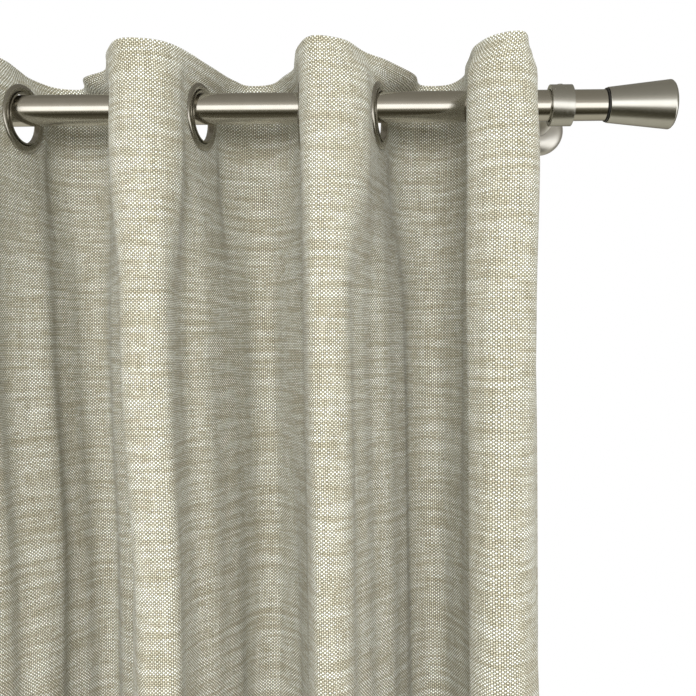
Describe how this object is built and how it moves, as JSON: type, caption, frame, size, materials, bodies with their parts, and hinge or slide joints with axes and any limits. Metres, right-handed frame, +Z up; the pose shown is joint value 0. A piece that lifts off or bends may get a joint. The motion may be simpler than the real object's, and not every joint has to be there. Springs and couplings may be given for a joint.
{
  "type": "window curtains on a rod",
  "caption": "Pair of grommet-top linen-look curtains gathered in deep folds on a brushed metal rod with wall brackets and flared finials.",
  "frame": {"origin": "centre of the right bracket's wall face, on the plane of the wall", "axes": "+X along the rod to the right as seen from the room, +Y out of the back towards the wall, +Z up"},
  "size_m": [1.6346, 0.1878, 2.134],
  "materials": {
    "linen_cloth": "woven, linen look",
    "rod_metal": "brushed nickel plate",
    "bracket_metal": "satin nickel plate",
    "grommet_metal": "dark brushed nickel",
    "zinc_steel": "zinc plate",
    "black_nylon": "matt"
  },
  "bodies": {
    "root": {"rod_tube": "rod_metal", "right_rod_plug": "zinc_steel", "right_bracket_ring": "bracket_metal", "right_bracket_post": "rod_metal", "right_wall_disc": "zinc_steel", "right_wall_screw_upper": "zinc_steel", "right_wall_screw_lower": "zinc_steel", "right_rosette_cover": "bracket_metal", "right_panel": "linen_cloth", "right_grommet_8_front": "grommet_metal", "right_grommet_8_back": "grommet_metal", "left_rod_plug": "zinc_steel", "left_bracket_ring": "bracket_metal", "left_bracket_post": "rod_metal", "left_wall_disc": "zinc_steel", "left_wall_screw_upper": "zinc_steel", "left_wall_screw_lower": "zinc_steel", "left_rosette_cover": "bracket_metal", "left_panel": "linen_cloth", "left_grommet_8_front": "grommet_metal", "left_grommet_8_back": "grommet_metal"},
    "right_finial_end": {"right_finial": "rod_metal", "right_finial_washer": "black_nylon"},
    "right_clamp_screw": {"right_grub_screw": "zinc_steel"},
    "right_eyelet_1": {"right_grommet_1_front": "grommet_metal", "right_grommet_1_back": "grommet_metal"},
    "right_eyelet_2": {"right_grommet_2_front": "grommet_metal", "right_grommet_2_back": "grommet_metal"},
    "right_eyelet_3": {"right_grommet_3_front": "grommet_metal", "right_grommet_3_back": "grommet_metal"},
    "right_eyelet_4": {"right_grommet_4_front": "grommet_metal", "right_grommet_4_back": "grommet_metal"},
    "right_eyelet_5": {"right_grommet_5_front": "grommet_metal", "right_grommet_5_back": "grommet_metal"},
    "right_eyelet_6": {"right_grommet_6_front": "grommet_metal", "right_grommet_6_back": "grommet_metal"},
    "right_eyelet_7": {"right_grommet_7_front": "grommet_metal", "right_grommet_7_back": "grommet_metal"},
    "left_finial_end": {"left_finial": "rod_metal", "left_finial_washer": "black_nylon"},
    "left_clamp_screw": {"left_grub_screw": "zinc_steel"},
    "left_eyelet_1": {"left_grommet_1_front": "grommet_metal", "left_grommet_1_back": "grommet_metal"},
    "left_eyelet_2": {"left_grommet_2_front": "grommet_metal", "left_grommet_2_back": "grommet_metal"},
    "left_eyelet_3": {"left_grommet_3_front": "grommet_metal", "left_grommet_3_back": "grommet_metal"},
    "left_eyelet_4": {"left_grommet_4_front": "grommet_metal", "left_grommet_4_back": "grommet_metal"},
    "left_eyelet_5": {"left_grommet_5_front": "grommet_metal", "left_grommet_5_back": "grommet_metal"},
    "left_eyelet_6": {"left_grommet_6_front": "grommet_metal", "left_grommet_6_back": "grommet_metal"},
    "left_eyelet_7": {"left_grommet_7_front": "grommet_metal", "left_grommet_7_back": "grommet_metal"}
  },
  "joints": [
    {"name": "right_panel_draw", "type": "slide", "parent": "root", "child": "right_eyelet_1", "axis": [1, 0, 0], "range_m": [-0.17, 0.25], "deforming": ["right_panel"]},
    {"name": "right_eyelet_2_slide", "type": "slide", "parent": "root", "child": "right_eyelet_2", "axis": [1, 0, 0], "range_m": [-0.1452, 0.2133]},
    {"name": "right_eyelet_3_slide", "type": "slide", "parent": "root", "child": "right_eyelet_3", "axis": [1, 0, 0], "range_m": [-0.1195, 0.1755]},
    {"name": "right_eyelet_4_slide", "type": "slide", "parent": "root", "child": "right_eyelet_4", "axis": [1, 0, 0], "range_m": [-0.0947, 0.139]},
    {"name": "right_eyelet_5_slide", "type": "slide", "parent": "root", "child": "right_eyelet_5", "axis": [1, 0, 0], "range_m": [-0.0658, 0.0966]},
    {"name": "right_eyelet_6_slide", "type": "slide", "parent": "root", "child": "right_eyelet_6", "axis": [1, 0, 0], "range_m": [-0.0441, 0.0646]},
    {"name": "right_eyelet_7_slide", "type": "slide", "parent": "root", "child": "right_eyelet_7", "axis": [1, 0, 0], "range_m": [-0.0177, 0.0257]},
    {"name": "right_finial_pull", "type": "slide", "parent": "root", "child": "right_finial_end", "axis": [1, 0, 0], "range_m": [0, 0.03]},
    {"name": "right_clamp_screw_back_out", "type": "slide", "parent": "root", "child": "right_clamp_screw", "axis": [0, 0, 1], "range_m": [0, 0.003]},
    {"name": "left_panel_draw", "type": "slide", "parent": "root", "child": "left_eyelet_1", "axis": [-1, 0, 0], "range_m": [-0.17, 0.25], "deforming": ["left_panel"]},
    {"name": "left_eyelet_2_slide", "type": "slide", "parent": "root", "child": "left_eyelet_2", "axis": [-1, 0, 0], "range_m": [-0.1452, 0.2133]},
    {"name": "left_eyelet_3_slide", "type": "slide", "parent": "root", "child": "left_eyelet_3", "axis": [-1, 0, 0], "range_m": [-0.1195, 0.1755]},
    {"name": "left_eyelet_4_slide", "type": "slide", "parent": "root", "child": "left_eyelet_4", "axis": [-1, 0, 0], "range_m": [-0.0947, 0.139]},
    {"name": "left_eyelet_5_slide", "type": "slide", "parent": "root", "child": "left_eyelet_5", "axis": [-1, 0, 0], "range_m": [-0.0658, 0.0966]},
    {"name": "left_eyelet_6_slide", "type": "slide", "parent": "root", "child": "left_eyelet_6", "axis": [-1, 0, 0], "range_m": [-0.0441, 0.0646]},
    {"name": "left_eyelet_7_slide", "type": "slide", "parent": "root", "child": "left_eyelet_7", "axis": [-1, 0, 0], "range_m": [-0.0177, 0.0257]},
    {"name": "left_finial_pull", "type": "slide", "parent": "root", "child": "left_finial_end", "axis": [-1, 0, 0], "range_m": [0, 0.03]},
    {"name": "left_clamp_screw_back_out", "type": "slide", "parent": "root", "child": "left_clamp_screw", "axis": [0, 0, 1], "range_m": [0, 0.003]}
  ],
  "couplings": [
    {"joint": "right_eyelet_2_slide", "follows": "right_panel_draw", "ratio": 0.8513},
    {"joint": "right_eyelet_3_slide", "follows": "right_panel_draw", "ratio": 0.7},
    {"joint": "right_eyelet_4_slide", "follows": "right_panel_draw", "ratio": 0.554},
    {"joint": "right_eyelet_5_slide", "follows": "right_panel_draw", "ratio": 0.3843},
    {"joint": "right_eyelet_6_slide", "follows": "right_panel_draw", "ratio": 0.2566},
    {"joint": "right_eyelet_7_slide", "follows": "right_panel_draw", "ratio": 0.1009},
    {"joint": "left_eyelet_2_slide", "follows": "left_panel_draw", "ratio": 0.8513},
    {"joint": "left_eyelet_3_slide", "follows": "left_panel_draw", "ratio": 0.7},
    {"joint": "left_eyelet_4_slide", "follows": "left_panel_draw", "ratio": 0.554},
    {"joint": "left_eyelet_5_slide", "follows": "left_panel_draw", "ratio": 0.3843},
    {"joint": "left_eyelet_6_slide", "follows": "left_panel_draw", "ratio": 0.2566},
    {"joint": "left_eyelet_7_slide", "follows": "left_panel_draw", "ratio": 0.1009}
  ]
}
